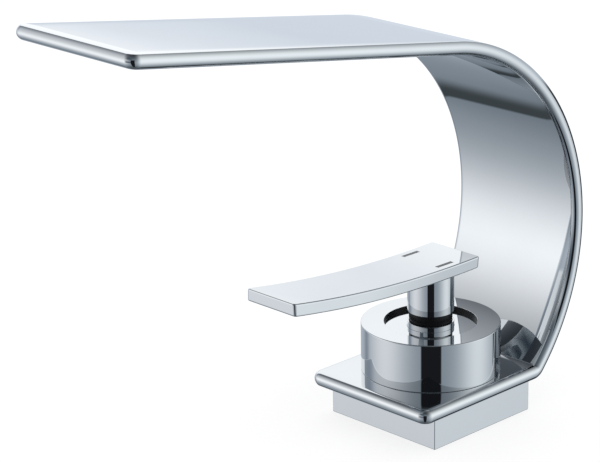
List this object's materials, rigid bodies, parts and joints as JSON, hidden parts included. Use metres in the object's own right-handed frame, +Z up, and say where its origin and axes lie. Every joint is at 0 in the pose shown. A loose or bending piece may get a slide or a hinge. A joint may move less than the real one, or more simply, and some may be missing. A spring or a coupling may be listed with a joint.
{
  "type": "waterfall basin faucet",
  "caption": "Chrome single-lever basin faucet: a wide flat ribbon spout folded into an open C over a round valve housing and a square base.",
  "frame": {"origin": "middle of the square base block's underside, on the deck", "axes": "+Z up, the spout and the lever point to -Y, +X is across the ribbon towards the cold side"},
  "size_m": [0.0564, 0.2092, 0.1689],
  "materials": {
    "chrome": "polished",
    "black_trim": "gloss",
    "grey_mark": "satin",
    "guide_plastic": "matte",
    "rubber": "matte",
    "steel": "turned",
    "brass": "machined",
    "cartridge_plastic": "moulded",
    "ceramic": "lapped"
  },
  "bodies": {
    "faucet_body": {"base_block": "chrome", "deck_seal": "rubber", "clamp_screws": "steel", "spout_ribbon": "chrome", "flow_guide": "guide_plastic", "guide_screws": "steel", "valve_body": "brass", "collar_seal": "rubber", "leaf_seal": "rubber", "housing_sleeve": "chrome", "recess_ring": "black_trim", "cap_disc": "chrome", "lock_nut": "brass", "cartridge_base": "cartridge_plastic", "inlet_seals": "rubber", "cartridge_seals": "rubber", "cartridge_shell": "cartridge_plastic", "fixed_disc": "ceramic"},
    "turning_cartridge": {"rotor": "cartridge_plastic", "neck_ring": "chrome", "pivot_pin": "steel"},
    "lever": {"lever_spindle": "steel", "ball_skirt": "black_trim", "lever_stem": "chrome", "lever_bar": "chrome", "bar_screw": "steel", "grub_screw": "steel", "grub_cap": "chrome", "hot_mark": "grey_mark", "cold_mark": "grey_mark"},
    "sliding_disc": {"moving_disc": "ceramic", "disc_carrier": "cartridge_plastic"}
  },
  "joints": [
    {"name": "temperature_turn", "type": "hinge", "parent": "faucet_body", "child": "turning_cartridge", "pos_m": [0, 0, 0.0352], "axis": [0, 0, 1], "range_deg": [-45, 45]},
    {"name": "flow_lift", "type": "hinge", "parent": "turning_cartridge", "child": "lever", "pos_m": [0, 0, 0.03695], "axis": [-1, 0, 0], "range_deg": [0, 20]},
    {"name": "disc_slide", "type": "slide", "parent": "turning_cartridge", "child": "sliding_disc", "axis": [0, -1, 0], "range_m": [0, 0.004]}
  ],
  "couplings": [
    {"joint": "disc_slide", "follows": "flow_lift", "m_per_rad": 0.01132}
  ]
}
